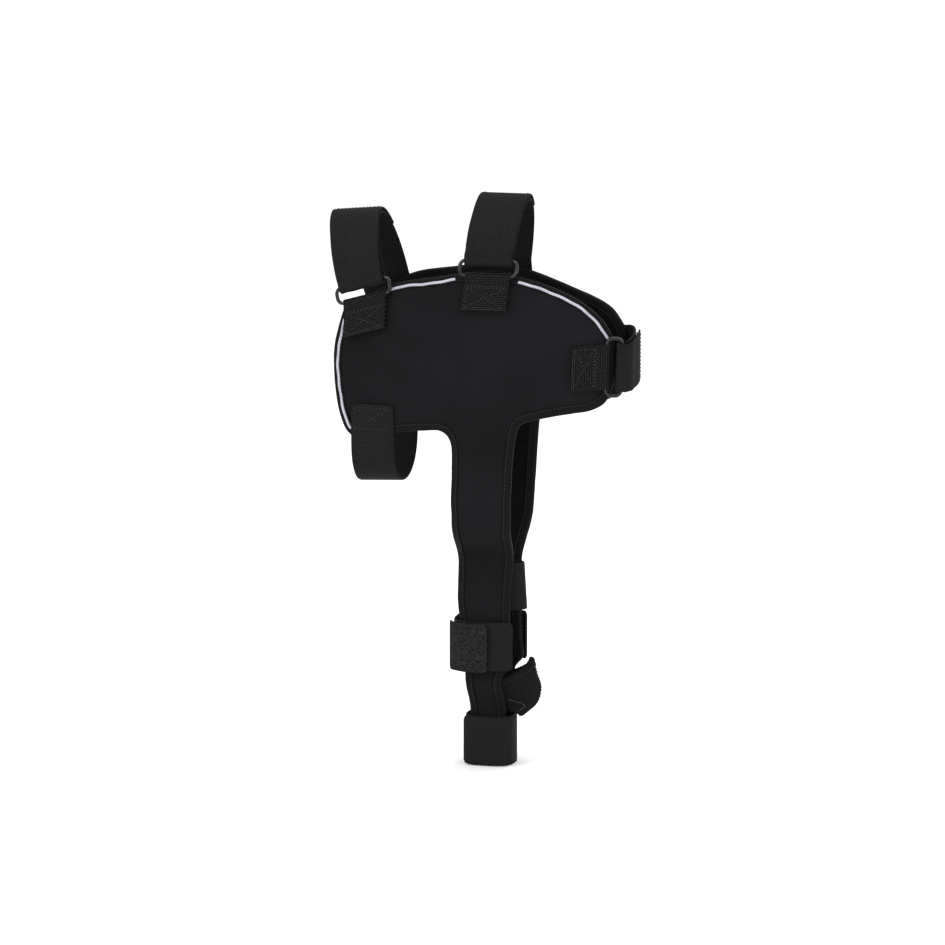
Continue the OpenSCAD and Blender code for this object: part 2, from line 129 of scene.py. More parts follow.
def glide(knots, at):
    """A value that eases from knot to knot."""
    if at <= knots[0][0]:
        return knots[0][1]
    for (low, a), (high, b) in zip(knots, knots[1:]):
        if at <= high:
            return mix(a, b, ease((at - low) / (high - low)))
    return knots[-1][1]


def smooth(points, steps):
    """A Catmull-Rom curve through the points, with steps to each interval."""
    p = np.array(points, float)
    last = len(p) - 1
    made = []
    for i in range(last):
        a, b, c, d = p[max(i - 1, 0)], p[i], p[i + 1], p[min(i + 2, last)]
        for k in range(steps):
            t = k / steps
            made.append(0.5 * (2 * b + (c - a) * t + (2 * a - 5 * b + 4 * c - d) * t * t
                               + (3 * b - a - 3 * c + d) * t ** 3))
    made.append(p[last])
    return np.array(made)


def resample(points, step, closed=False):
    """Evenly spaced points along a line."""
    p = np.asarray(points, float)
    if closed:
        p = np.vstack([p, p[:1]])
    run = np.r_[0, np.cumsum(np.linalg.norm(np.diff(p, axis=0), axis=1))]
    count = max(2, round(run[-1] / step))
    at = np.linspace(0, run[-1], count + 1)
    if closed:
        at = at[:-1]
    return np.stack([np.interp(at, run, p[:, k]) for k in range(p.shape[1])], axis=1)


def rounded(points, passes, closed=False):
    """A line with its corners softened."""
    p = np.array(points, float)
    for _ in range(passes):
        q = (np.roll(p, 1, 0) + 2 * p + np.roll(p, -1, 0)) / 4
        if not closed:
            q[0], q[-1] = p[0], p[-1]
        p = q
    return p


def wobble(x, y, z, scale):
    return noise.noise(Vector((x / scale, y / scale, z / scale)))


# ---- The wearer's shape ----
def depth(x, z):
    """Half depth of the brace's outer face."""
    if x < WIDEST_X:
        hip = HIP_HALF - BELLY_TAPER * ((WIDEST_X - x) / (WIDEST_X - HIP_FRONT)) ** 2
    else:
        hip = HIP_HALF - RUMP_TAPER * ((x - WIDEST_X) / (HIP_BACK - WIDEST_X)) ** 2
    hip -= TOP_LEAN * (max(z - LEAN_Z, 0) / (TOP_Z - LEAN_Z)) ** 2
    middle = (glide(LEG_FRONT, z) + glide(LEG_BACK, z)) / 2
    across = min(max((x - middle) / 25, -1.6), 1.6)
    leg = glide(LEG_HALF, z) - LEG_ROUND * across * across
    return mix(leg, hip, ease((z + 80) / 50))


def normal(side, x, z):
    return unit(vec((depth(x - 1, z) - depth(x + 1, z)) / 2, side,
                    (depth(x, z - 1) - depth(x, z + 1)) / 2))


def over(side, x, z, lift=0.0):
    """A point over the outer face, lifted along its normal."""
    drop = FAR_DROP * ease((z - 30) / 30) * ease((x + 20) / 100) if side == FAR else 0
    return vec(x, side * depth(x, z), z - drop) + lift * normal(side, x, z)


# ---- Meshes ----
def new_piece(name, verts, faces, uvs=None, sharp=40):
    """A piece from points in millimetres; uvs holds one (u, v) in millimetres for each corner."""
    mesh = bpy.data.meshes.new(name)
    mesh.from_pydata([tuple(v) for v in np.asarray(verts) * MM], [], faces)
    if uvs is not None:
        layer = mesh.uv_layers.new(name="UVMap")
        layer.data.foreach_set("uv", (np.asarray(uvs, float) * MM).ravel())
    mesh.shade_smooth()
    mesh.set_sharp_from_angle(angle=math.radians(sharp))
    mesh.update()
    piece = bpy.data.objects.new(name, mesh)
    bpy.context.scene.collection.objects.link(piece)
    return piece


def face_out(piece):
    """Turns the faces of a closed piece outward."""
    bpy.context.view_layer.objects.active = piece
    piece.select_set(True)
    bpy.ops.object.mode_set(mode="EDIT")
    bpy.ops.mesh.select_all(action="SELECT")
    bpy.ops.mesh.normals_make_consistent(inside=False)
    bpy.ops.object.mode_set(mode="OBJECT")
    piece.select_set(False)
    return piece


def sweep(name, rows, across, along, closed=False, sharp=40):
    """A closed tube of rings of points. across and along are each point's UV place."""
    rows = np.asarray(rows, float)
    count, ring = rows.shape[:2]
    faces, uvs = [], []
    turns = count if closed else count - 1
    for i in range(turns):
        n = (i + 1) % count
        far_v = along[n] if n else along[-1] + along[1] - along[0]
        for j in range(ring):
            k = (j + 1) % ring
            faces.append((i * ring + j, i * ring + k, n * ring + k, n * ring + j))
            uvs += [(across[j], along[i]), (across[k], along[i]), (across[k], far_v), (across[j], far_v)]
    if not closed:
        for i in (0, count - 1):
            faces.append(tuple(i * ring + j for j in range(ring)))
            uvs += [(across[j], along[i]) for j in range(ring)]
    return face_out(new_piece(name, rows.reshape(-1, 3), faces, uvs, sharp))


def lengths(points):
    return np.r_[0, np.cumsum(np.linalg.norm(np.diff(points, axis=0), axis=1))]


# ---- Ribbons ----
def stations(centres, across, halves, closed=False):
    """Centre, direction across, normal and half width at each point of a ribbon's path."""
    c = np.asarray(centres, float)
    if closed:
        ways = np.roll(c, -1, 0) - np.roll(c, 1, 0)
    else:
        ways = np.gradient(c, axis=0)
    made = []
    for i, way in enumerate(ways):
        made.append((c[i], unit(across[i]), unit(np.cross(across[i], way)), halves[i]))
    return made


def lifted(course, lifts):
    return [(c + n * lift, a, n, h) for (c, a, n, h), lift in zip(course, lifts)]


def round_ends(course, radius, ends=(0, -1)):
    """Narrows a ribbon towards its ends, as a tape cut with rounded corners."""
    run = lengths([s[0] for s in course])
    made = []
    for s, at in zip(course, run):
        nearest = min([at, run[-1] - at][e] for e in ends)
        short = max(1 - nearest / radius, 0)
        made.append((s[0], s[1], s[2], s[3] - radius * (1 - math.sqrt(1 - short * short))))
    return made


def ribbon(name, course, thickness, closed=False, columns=10, ripple=None):
    """A flat tape with rounded edges. ripple(across, along) lifts its face a little."""
    r = thickness / 2
    turn = [math.radians(a) for a in (90, 45, 0, -45, -90)]
    run = lengths([s[0] for s in course])
    rows = []
    for (c, a, n, half), at in zip(course, run):
        flat = max(half - r, 0.2)
        top = np.linspace(-flat, flat, columns + 1)
        ring = [(u, r) for u in top[1:-1]]
        ring += [(flat + r * math.cos(t), r * math.sin(t)) for t in turn]
        ring += [(u, -r) for u in top[-2:0:-1]]
        ring += [(-flat - r * math.cos(t), -r * math.sin(t)) for t in turn]
        lift = [ripple(u, at) if ripple else 0.0 for u, _ in ring]
        rows.append([c + a * u + n * (v + w) for (u, v), w in zip(ring, lift)])
    widest = max(s[3] for s in course) - r
    top = np.linspace(-widest, widest, columns + 1)
    across = list(top[1:-1]) + [widest + r * math.cos(t) for t in turn]
    across += list(top[-2:0:-1]) + [-widest - r * math.cos(t) for t in turn]
    return sweep(name, rows, across, run, closed)


# ---- Stitches ----
def stitches(name, lines, pitch=3.0, length=2.1, radius=0.32, material=None):
    """Raised stitches along lines of (point, normal); each dips into the cloth at its ends."""
    bows = [    # how far along, how high and how thick each ring of a stitch is
        (-1.0, -0.5, 0.35), (-0.6, 0.45, 0.85), (0.0, 0.9, 1.0), (0.6, 0.45, 0.85),
        (1.0, -0.5, 0.35),
    ]
    sides = 6
    verts, faces = [], []
    for points, normals in lines:
        run = lengths(points)
        count = max(int(run[-1] // pitch), 1)
        for k in range(count):
            at = (k + 0.5) * run[-1] / count
            ends = [at - length / 2, at + length / 2]
            p = [vec(*[np.interp(e, run, np.asarray(points)[:, j]) for j in range(3)]) for e in ends]
            n = unit(vec(*[np.interp(at, run, np.asarray(normals)[:, j]) for j in range(3)]))
            way = p[1] - p[0]
            if np.linalg.norm(way) < 1e-6:
                continue
            way = way / 2
            beside = unit(np.cross(unit(way), n))
            first = len(verts)
            for s, height, share in bows:
                centre = (p[0] + p[1]) / 2 + way * s + n * height * radius
                for a in np.linspace(0, 2 * math.pi, sides, endpoint=False):
                    verts.append(centre + radius * share * (beside * math.cos(a) + n * math.sin(a)))
            for i in range(len(bows) - 1):
                for j in range(sides):
                    a, b = first + i * sides + j, first + i * sides + (j + 1) % sides
                    faces.append((a, b, b + sides, a + sides))
            faces.append(tuple(first + j for j in range(sides))[::-1])
            faces.append(tuple(first + (len(bows) - 1) * sides + j for j in range(sides)))
    piece = new_piece(name, verts, faces, sharp=80)
    piece.data.materials.append(material or THREAD)
    return piece


def box_and_cross(corners):
    """Lines of a box with a cross from corner to corner. corners maps (-1..1, -1..1) to a place."""
    path = [(-1, -1), (1, -1), (1, 1), (-1, 1), (-1, -1), (1, 1), (1, -1), (-1, 1)]
    lines = []
    for (a, b), (c, d) in zip(path, path[1:]):
        points, normals = [], []
        for t in np.linspace(0, 1, 14):
            place, out = corners(mix(a, c, t), mix(b, d, t))
            points.append(place)
            normals.append(out)
        lines.append((points, normals))
    return lines


# ---- Materials ----
class Shader:
    """A principled material with short forms for its nodes."""

    def __init__(self, name, colour, roughness, **sockets):
        self.material = bpy.data.materials.new(name)
        self.material.use_nodes = True
        self.material.diffuse_color = (*colour, 1)
        self.tree = self.material.node_tree
        self.shader = self.tree.nodes["Principled BSDF"]
        self.set("Base Color", (*colour, 1))
        self.set("Roughness", roughness)
        for key, value in sockets.items():
            self.set(key.replace("_", " "), value)

    def set(self, socket, value):
        target = self.shader.inputs[socket]
        if isinstance(value, bpy.types.NodeSocket):
            self.tree.links.new(value, target)
        else:
            target.default_value = value

    def node(self, kind, out=0, inputs=(), **settings):
        made = self.tree.nodes.new(kind)
        for key, value in settings.items():
            setattr(made, key, value)
        for key, value in dict(inputs).items():
            if isinstance(value, bpy.types.NodeSocket):
                self.tree.links.new(value, made.inputs[key])
            else:
                made.inputs[key].default_value = value
        return made.outputs[out]

    def math(self, operation, a, b=0.0):
        return self.node("ShaderNodeMath", inputs={0: a, 1: b}, operation=operation)

    def uv(self):
        """Across and along the cloth, in millimetres."""
        place = self.node("ShaderNodeTexCoord", out="UV")
        parts = self.tree.nodes.new("ShaderNodeSeparateXYZ")
        self.tree.links.new(place, parts.inputs[0])
        return [self.math("MULTIPLY", parts.outputs[k], 1000.0) for k in (0, 1)]

    def wave(self, value, pitch, shift=0.0):
        """0 to 1 and back over each pitch."""
        angle = self.math("ADD", self.math("MULTIPLY", value, 2 * math.pi / pitch), shift)
        return self.math("ADD", self.math("MULTIPLY", self.math("SINE", angle), 0.5), 0.5)

    def noise(self, per_metre, detail=3.0, rough=0.55):
        place = self.node("ShaderNodeTexCoord", out="Object")
        return self.node("ShaderNodeTexNoise", out="Fac", inputs={
            "Vector": place, "Scale": per_metre, "Detail": detail, "Roughness": rough})

    def tint(self, share, low, high):
        """Sets the base colour, from low to high by share."""
        made = self.tree.nodes.new("ShaderNodeMix")
        made.data_type = "RGBA"
        self.tree.links.new(share, made.inputs[0])
        made.inputs[6].default_value = (*low, 1)
        made.inputs[7].default_value = (*high, 1)
        self.set("Base Color", made.outputs[2])

    def ramp(self, value, low, high):
        return self.node("ShaderNodeMapRange", inputs={
            "Value": value, "From Min": low, "From Max": high}, clamp=True)

    def bump(self, height, strength, distance_mm):
        self.set("Normal", self.node("ShaderNodeBump", inputs={
            "Height": height, "Strength": strength, "Distance": distance_mm * MM}))


def knit_material():
    """Neoprene's outer face: a fine jersey knit with faint cloudiness."""
    m = Shader("neoprene_knit", (0.008, 0.008, 0.0098), 0.82, Specular_IOR_Level=0.03)
    u, v = m.uv()
    column = m.math("ABSOLUTE", m.math("SINE", m.math("MULTIPLY", u, math.pi / 0.9)))
    loops = m.wave(m.math("ADD", v, m.math("MULTIPLY", column, 0.35)), 0.75)
    knit = m.math("MULTIPLY", column, m.math("ADD", m.math("MULTIPLY", loops, 0.6), 0.4))
    cloud = m.noise(14, 4)
    m.tint(m.ramp(m.math("ADD", cloud, m.math("MULTIPLY", knit, 0.12)), 0.3, 0.8),
           (0.0070, 0.0069, 0.0077), (0.0120, 0.0117, 0.0131))
    m.bump(m.math("ADD", knit, m.math("MULTIPLY", m.noise(260, 2), 0.5)), 0.35, 0.25)
    return m.material


def lining_material():
    """The panels' inner face: dark brushed pile."""
    m = Shader("neoprene_lining", (0.005, 0.005, 0.0058), 0.95, Specular_IOR_Level=0.02)
    fuzz = m.noise(900, 4, 0.7)
    m.tint(m.ramp(fuzz, 0.35, 0.75),
           (0.0034, 0.0034, 0.0039), (0.0105, 0.0102, 0.0116))
    m.bump(m.math("ADD", fuzz, m.noise(240, 3)), 0.7, 0.8)
    return m.material


def binding_material():
    """Stretch binding: fine ribs across the tape, puckered at each stitch."""
    m = Shader("edge_binding", (0.0055, 0.0055, 0.0062), 0.6, Specular_IOR_Level=0.03)
    _, v = m.uv()
    ribs = m.wave(v, 0.7)
    pucker = m.wave(m.math("ADD", v, m.math("MULTIPLY", m.noise(120), 2.0)), 3.1)
    m.tint(ribs, (0.0050, 0.0050, 0.0056), (0.0100, 0.0098, 0.0108))
    m.set("Roughness", m.node("ShaderNodeMapRange", inputs={
        "Value": pucker, "To Min": 0.42, "To Max": 0.6}))
    m.bump(m.math("ADD", m.math("MULTIPLY", ribs, 0.3), pucker), 0.5, 0.35)
    return m.material


def piping_material():
    """Reflective tape: pale grey with a faint lilac cast and a beaded grain."""
    m = Shader("reflective_piping", (0.42, 0.40, 0.47), 0.42, Specular_IOR_Level=0.6)
    grain = m.noise(1500, 2)
    soil = m.noise(90, 3)
    shade = m.math("ADD", m.math("MULTIPLY", grain, 0.4), m.math("MULTIPLY", soil, 0.6))
    m.tint(m.ramp(shade, 0.3, 0.7), (0.30, 0.285, 0.345), (0.52, 0.50, 0.575))
    m.bump(grain, 0.3, 0.15)
    return m.material


def webbing_material():
    """Coarse woven webbing: ribs across, broken into pale specks where the yarn turns."""
    m = Shader("webbing", (0.009, 0.009, 0.009), 0.65, Specular_IOR_Level=0.06)
    u, v = m.uv()
    row = m.math("FLOOR", m.math("DIVIDE", v, 1.9))
    shift = m.math("MULTIPLY", m.math("MODULO", row, 2.0), math.pi)
    across = m.wave(u, 2.3)
    brick = m.wave(u, 2.3, shift)
    rib = m.math("ABSOLUTE", m.math("SINE", m.math("MULTIPLY", v, math.pi / 1.9)))
    weave = m.math("MULTIPLY", rib, m.math("ADD", m.math("MULTIPLY", brick, 0.75), 0.25))
    flecks = m.math("MULTIPLY", weave, m.math("ADD", m.noise(700, 2), 0.35))
    m.tint(m.ramp(flecks, 0.30, 0.95),
           (0.0032, 0.0032, 0.0032), (0.036, 0.0355, 0.0345))
    m.bump(m.math("ADD", weave, m.math("MULTIPLY", across, 0.1)), 0.8, 0.7)
    return m.material


def elastic_material():
    """Woven elastic: fine ribs across, finer cords along, a few pale fibres."""
    m = Shader("elastic", (0.0125, 0.0122, 0.012), 0.75, Specular_IOR_Level=0.05)
    u, v = m.uv()
    ribs = m.wave(v, 1.15)
    cords = m.wave(u, 0.95)
    weave = m.math("ADD", m.math("MULTIPLY", ribs, 0.7), m.math("MULTIPLY", cords, 0.3))
    tone = m.math("ADD", m.math("MULTIPLY", weave, 0.45), m.math("MULTIPLY", m.noise(420, 3), 0.55))
    m.tint(m.ramp(tone, 0.3, 0.75),
           (0.0072, 0.0071, 0.0070), (0.0165, 0.0161, 0.0159))
    m.bump(m.math("ADD", weave, m.math("MULTIPLY", m.noise(300), 0.4)), 0.6, 0.35)
    return m.material


def hook_material():
    """Moulded hooks in rows."""
    m = Shader("hook_tape", (0.006, 0.006, 0.006), 0.5, Specular_IOR_Level=0.15)
    u, v = m.uv()
    dots = m.math("MULTIPLY", m.wave(u, 1.5), m.wave(v, 1.7))
    m.tint(m.ramp(dots, 0.3, 0.9), (0.005, 0.005, 0.005), (0.026, 0.026, 0.026))
    m.bump(dots, 1.0, 0.9)
    return m.material


def loop_material():
    """Loop-faced tape: coarse, tangled pile."""
    m = Shader("loop_tape", (0.008, 0.008, 0.008), 0.9, Specular_IOR_Level=0.03)
    place = m.node("ShaderNodeTexCoord", out="Object")
    cells = m.node("ShaderNodeTexVoronoi", out="Distance", inputs={"Vector": place, "Scale": 520.0})
    tangle = m.math("ADD", m.math("MULTIPLY", cells, 0.8), m.math("MULTIPLY", m.noise(800, 3, 0.7), 0.7))
    m.tint(m.ramp(tangle, 0.35, 1.0),
           (0.0038, 0.0038, 0.0038), (0.024, 0.024, 0.024))
    m.bump(tangle, 0.9, 0.9)
    return m.material


def metal_material():
    """Gloss black coating on steel wire, thinly worn."""
    m = Shader("ring_metal", (0.007, 0.007, 0.0076), 0.22, Specular_IOR_Level=0.35)
    wear = m.noise(160, 4)
    m.tint(m.ramp(wear, 0.45, 0.85),
           (0.005, 0.005, 0.0055), (0.016, 0.016, 0.017))
    m.set("Roughness", m.node("ShaderNodeMapRange", inputs={
        "Value": wear, "To Min": 0.12, "To Max": 0.4}))
    m.bump(m.noise(700, 2), 0.08, 0.1)
    return m.material


def thread_material(name, colour):
    m = Shader(name, colour, 0.5, Specular_IOR_Level=0.15)
    light = tuple(c * 1.8 for c in colour)
    m.tint(m.ramp(m.noise(2500, 2), 0.35, 0.65), colour, light)
    m.bump(m.noise(3500, 2), 0.4, 0.1)
    return m.material


def floor_material():
    m = Shader("studio_floor", (0.92, 0.92, 0.92), 0.9, Specular_IOR_Level=0.1)
    m.tint(m.noise(3, 2), (0.92, 0.92, 0.92), (0.94, 0.94, 0.94))
    return m.material


KNIT = knit_material()
LINING = lining_material()
BINDING = binding_material()
PIPING = piping_material()
WEBBING = webbing_material()
ELASTIC = elastic_material()
HOOK = hook_material()
LOOP = loop_material()
METAL = metal_material()
THREAD = thread_material("thread", (0.019, 0.019, 0.020))
PALE_THREAD = thread_material("pale_thread", (0.06, 0.06, 0.062))


def dress(piece, material, body):
    """Gives a piece its material and body."""
    if material not in list(piece.data.materials):
        piece.data.materials.append(material)
    if body:
        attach(piece, body)
    return piece


def bend_at_knee(piece):
    """Bakes a piece's placement into its mesh; the piece is not bent between the hip and shank bodies.
    """
    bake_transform(piece)


# ---- Panels ----
COLUMNS = 60
RISE_CURVE = np.array(smooth(RISE, 4))


def row_points(row):
    points = []
    for j in range(COLUMNS + 1):
        s = j / COLUMNS
        rise = np.interp(s, RISE_CURVE[:, 0], RISE_CURVE[:, 1])
        points.append((mix(row[0], row[2], s), mix(row[1], row[3], s) + row[4] * rise))
    return points


def panel_grid():
    """The whole cut of one panel from the foot up, as rows of (x, z)."""
    leg = [(glide(LEG_FRONT, z), z, glide(LEG_BACK, z), z, 0) for z in np.arange(FOOT_END, LEG_TOP, 4)]
    return [row_points(row) for row in leg + list(smooth(HIP_ROWS, 5))]


GRID = panel_grid()
CUT_EDGE = ([row[0] for row in GRID] + GRID[-1][1:-1]
            + [row[-1] for row in GRID[::-1]] + GRID[0][-2:0:-1])
OUTLINE = rounded(resample(CUT_EDGE, 1.6, closed=True), 4, closed=True)


def two_faced(name, outer, inner, cols, uv_of):
    """A closed neoprene sheet between two grids of points: knit outside, pile inside."""
    size = len(outer)
    rows = size // cols
    faces, marks = [], []
    for i in range(rows - 1):
        for j in range(cols - 1):
            a = i * cols + j
            b = a + cols
            faces += [(a, a + 1, b + 1, b), (size + a, size + b, size + b + 1, size + a + 1)]
            marks += [0, 1]
    rim = ([i * cols for i in range(rows)] + [(rows - 1) * cols + j for j in range(1, cols)]
           + [i * cols + cols - 1 for i in range(rows - 2, -1, -1)] + list(range(cols - 2, 0, -1)))
    for a, b in zip(rim, rim[1:] + rim[:1]):
        faces.append((a, b, size + b, size + a))
        marks.append(0)
    uvs = [uv_of(k % size) for face in faces for k in face]
    piece = new_piece(name, outer + inner, faces, uvs, sharp=50)
    piece.data.materials.append(KNIT)
    piece.data.materials.append(LINING)
    piece.data.polygons.foreach_set("material_index", marks)
    return face_out(piece)


def panel(name, side, cad_nodes):
    """A neoprene sheet: knit outside, pile inside, thinned where the binding grips it."""
    flat = np.array(GRID, float)
    cols = flat.shape[1]
    points = flat.reshape(-1, 2)
    nearest = np.array([np.sqrt(((OUTLINE - p) ** 2).sum(1).min()) for p in points])
    outer, inner = [], []
    for (x, z), near in zip(points, nearest):
        soft = 0.5 * wobble(x, side * 40, z, 45) + 0.25 * wobble(x, side * 90, z, 16)
        pinch = math.exp(-near / 3.0)
        outer.append(over(side, x, z, soft * (1 - pinch) - 0.5 * pinch))
        inner.append(over(side, x, z, -NEOPRENE_T + 0.4 * soft * (1 - pinch) + 0.5 * pinch))
    piece = two_faced(name, outer, inner, cols, lambda k: tuple(points[k]))
    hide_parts(*cad_nodes)
    return piece


def edge_frames(loop, side, closed=True):
    """Along an outline: places on the outer face, outward directions and normals."""
    places = np.array([over(side, x, z) for x, z in loop])
    normals = np.array([normal(side, x, z) for x, z in loop])
    if closed:
        ways = np.roll(places, -1, 0) - np.roll(places, 1, 0)
    else:
        ways = np.gradient(places, axis=0)
    outs = side * np.cross(ways, normals)
    outs /= np.linalg.norm(outs, axis=1)[:, None]
    return places, outs, normals


def binding_profile():
    """The folded tape's section as (reach beyond the edge, lift from the outer face)."""
    middle, high = -NEOPRENE_T / 2, NEOPRENE_T / 2 + BINDING_RISE
    turn = [math.radians(a) for a in range(90, -91, -20)]
    arc = [(0.4 + (BINDING_OUT - 0.4) * math.cos(a), middle + high * math.sin(a)) for a in turn]
    return ([(-BINDING_IN, -0.4), (-BINDING_IN, BINDING_RISE - 0.35), (-BINDING_IN + 0.4, BINDING_RISE)]
            + arc + [(-BINDING_IN + 0.4, -NEOPRENE_T - BINDING_RISE),
                     (-BINDING_IN, -NEOPRENE_T - BINDING_RISE + 0.35), (-BINDING_IN, -NEOPRENE_T + 0.4)])


def binding(name, side, cad_nodes):
    """Tape folded over a panel's whole edge."""
    places, outs, normals = edge_frames(OUTLINE, side)
    profile = binding_profile()
    run = lengths(places)
    rows = []
    for p, o, n, at in zip(places, outs, normals, run):
        uneven = 0.18 * wobble(at, side * 7, 0, 9)
        rows.append([p + o * (r + uneven) + n * lift for r, lift in profile])
    piece = sweep(name, rows, lengths(profile), run, closed=True)
    dress(piece, BINDING, None)
    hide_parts(*cad_nodes)
    return piece


def edge_stitches(name, side):
    """Two rows, one on each face, along the whole binding."""
    places, outs, normals = edge_frames(OUTLINE, side)
    lines = []
    for lift, turn in ((BINDING_RISE, 1), (-NEOPRENE_T - BINDING_RISE, -1)):
        points = places - outs * STITCH_IN + normals * lift
        lines.append((np.vstack([points, points[:1]]), np.vstack([normals, normals[:1]]) * turn))
    return dress(stitches(name, lines, pitch=3.1, length=2.0, radius=0.3), THREAD, None)


PIPING_RUNS = (
    lambda x, z: x < -96 and -66 < z < 33,
    lambda x, z: -73 < x < -14 and z > 40,
    lambda x, z: x > 38 and z > 17,
)


def piping(name, side, node):
    """Reflective tape caught in the binding's seam, in three slightly wavy runs."""
    loop = rounded(resample(CUT_EDGE, 2.0, closed=True), 3, closed=True)
    half = 1.2
    turn = [math.radians(a) for a in range(0, 181, 30)]
    verts, faces, uvs = [], [], []
    for wanted in PIPING_RUNS:
        run = np.array([p for p in loop if wanted(*p)])
        places, outs, normals = edge_frames(run, side, closed=False)
        along = lengths(places)
        first = len(verts)
        ring = len(turn)
        for p, o, n, at in zip(places, outs, normals, along):
            wave = 0.45 * math.sin(at / 7.0) + 0.35 * math.sin(at / 2.9 + 1)
            for a in turn:
                reach = -2.0 + wave * 0.6 + half * math.cos(a)
                verts.append(p + o * reach + n * (0.7 + 1.1 * math.sin(a)))
        for i in range(len(run) - 1):
            for j in range(ring - 1):
                a = first + i * ring + j
                faces.append((a, a + 1, a + ring + 1, a + ring))
                uvs += [(j, along[i]), (j + 1, along[i]), (j + 1, along[i + 1]), (j, along[i + 1])]
        for i in (0, len(run) - 1):
            faces.append(tuple(first + i * ring + j for j in range(ring)))
            uvs += [(j, along[i]) for j in range(ring)]
    piece = new_piece(name, verts, faces, uvs)
    dress(piece, PIPING, "hip")
    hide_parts(node)
    return piece


# ---- Tabs and straps over the rings ----
class Place:
    """Where a ring tab is sewn: its point, directions across, along and out, as in the CAD source."""

    def __init__(self, x, z, turn, far_up=0.0, fall=None):
        self.out = normal(NEAR, x, z)
        lean = vec(-math.sin(math.radians(turn)), 0, math.cos(math.radians(turn)))
        self.along = unit(lean - lean.dot(self.out) * self.out)
        self.point = over(NEAR, x, z)
        self.across = np.cross(self.along, self.out)
        fall = lean if fall is None else vec(*fall)
        self.fall = unit(fall - fall.dot(self.out) * self.out)
        self.far_up = far_up

    def spot(self, across, along, out):
        way = self.along if along > 0 else self.fall
        return self.point + self.across * across + way * along + self.out * out

    def far(self):
        other = Place.__new__(Place)
        other.point = mirrored(self.point) + vec(0, 0, self.far_up)
        other.across, other.along, other.out = (mirrored(v) for v in (self.across, self.along, self.out))
        other.fall = other.along
        other.far_up = 0
        return other


FOLD_R = WIRE_R + GAP
BAR_LIFT = SEAT + WEBBING_T + FOLD_R
FOLD_MID = WIRE_R + 1.7 + ELASTIC_T / 2
FAR_LIFT = SEAT + ELASTIC_T / 2
TAB_L, STUB_L = 29.0, 3.0
STEPS = 72

# Each ring's place and strap: how the strap's arch stands out and leans, how far along the far panel
# it lands, its direction across at the crown, how far it is sewn down, and the tongue's share of
# the arch and the distance over which it bends at its root
FASTENERS = {
    "front": dict(place=Place(-91, 45.5, 16, fall=(0, 0, 1)), rise=(0, 0, 56), drift=(-14, 0, 0),
                  far_along=8, crown=(1, 0, 0.09), far_l=28, to=0.75, reach=8),
    "middle": dict(place=Place(13, 67, 0, -FAR_DROP * ease(0.33), fall=(0.1, 0, 1)),
                   rise=(0, 0, 52), drift=(6.5, 0, 0),
                   far_along=8, crown=(1, 0, 0), far_l=28, to=0.7, reach=8),
    "rump": dict(place=Place(111.5, -5, -92, 6, fall=(1, 0, 0.1)), rise=(9.5, 0, 0), drift=(0, 0, 2),
                 far_along=4, crown=(0, 0, -1), far_l=34, to=0.6, reach=3),
}


def tab_path():
    """The folded tab's middle line as (along, out), from the outer end over the bar to the inner end."""
    r = FOLD_R + WEBBING_T / 2
    outer, inner = SEAT + WEBBING_T * 1.5 + 0.1, SEAT + WEBBING_T / 2
    turn = [math.radians(a) for a in range(80, -91, -17)]
    arc = [(r * math.cos(a), BAR_LIFT + r * math.sin(a)) for a in turn]
    neck = (-4, mix(outer, BAR_LIFT + r, 0.72))
    line = [(-TAB_L, outer), (-9.5, outer), neck] + arc + [(-TAB_L, inner)]
    return rounded(resample(line, 1.0), 2)


def ring_tab(name, place):
    """Webbing folded round the ring's bar, sewn flat with a box and cross."""
    path = tab_path()
    centres = [place.spot(0, along, out) for along, out in path]
    across = [place.across] * len(path)
    halves = []
    for (along, _), k in zip(path, range(len(path))):
        halves.append(TAB_W / 2 + 0.35 * wobble(along, k / 9, 0, 6))

    def quilt(u, at):
        return -0.12 * math.cos(u * 0.9) * math.cos(at * 0.8)

    piece = ribbon(name, stations(centres, across, halves), WEBBING_T, columns=16, ripple=quilt)
    dress(piece, WEBBING, "hip")
    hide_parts(name)
    lift = SEAT + 2 * WEBBING_T + 0.1

    def corner(a, b):
        return place.spot(a * (TAB_W / 2 - 2.8), mix(-TAB_L + 2.4, -10.0, (b + 1) / 2), lift), place.out

    lines = box_and_cross(corner)
    edge_half = TAB_W / 2 - 1.5
    edge = [place.spot(u, -TAB_L + 1.0, lift) for u in np.linspace(-edge_half, edge_half, 12)]
    neck = [place.spot(u, -8.6, lift + 0.5) for u in np.linspace(-TAB_W / 2 + 2, TAB_W / 2 - 2, 12)]
    lines += [(edge, [place.out] * 12), (neck, [place.out] * 12)]
    thread = stitches(name + "_stitches", lines, pitch=2.9, length=2.2, radius=0.36)
    dress(thread, THREAD, "hip")
    return piece, thread


def fold_centres(place):
    start = [place.spot(0, RING_H + STUB_L, BAR_LIFT + FOLD_MID)]
    for a in np.arange(0, 181, 15):
        t = math.radians(a)
        start.append(place.spot(0, RING_H - FOLD_MID * math.sin(t), BAR_LIFT + FOLD_MID * math.cos(t)))
    return start


def arch(place, fastener):
    """The strap's line from the ring over to the far panel."""
    a = place.spot(0, RING_H, BAR_LIFT - FOLD_MID)
    b = place.far().spot(0, fastener["far_along"], FAR_LIFT)
    bow = vec(*fastener["rise"]) + vec(*fastener["drift"])
    made = []
    for i in range(1, STEPS + 1):
        t = i / STEPS
        made.append(mix(a, b, (1 - math.cos(math.pi * t)) / 2) + bow * math.sin(math.pi * t))
    return made


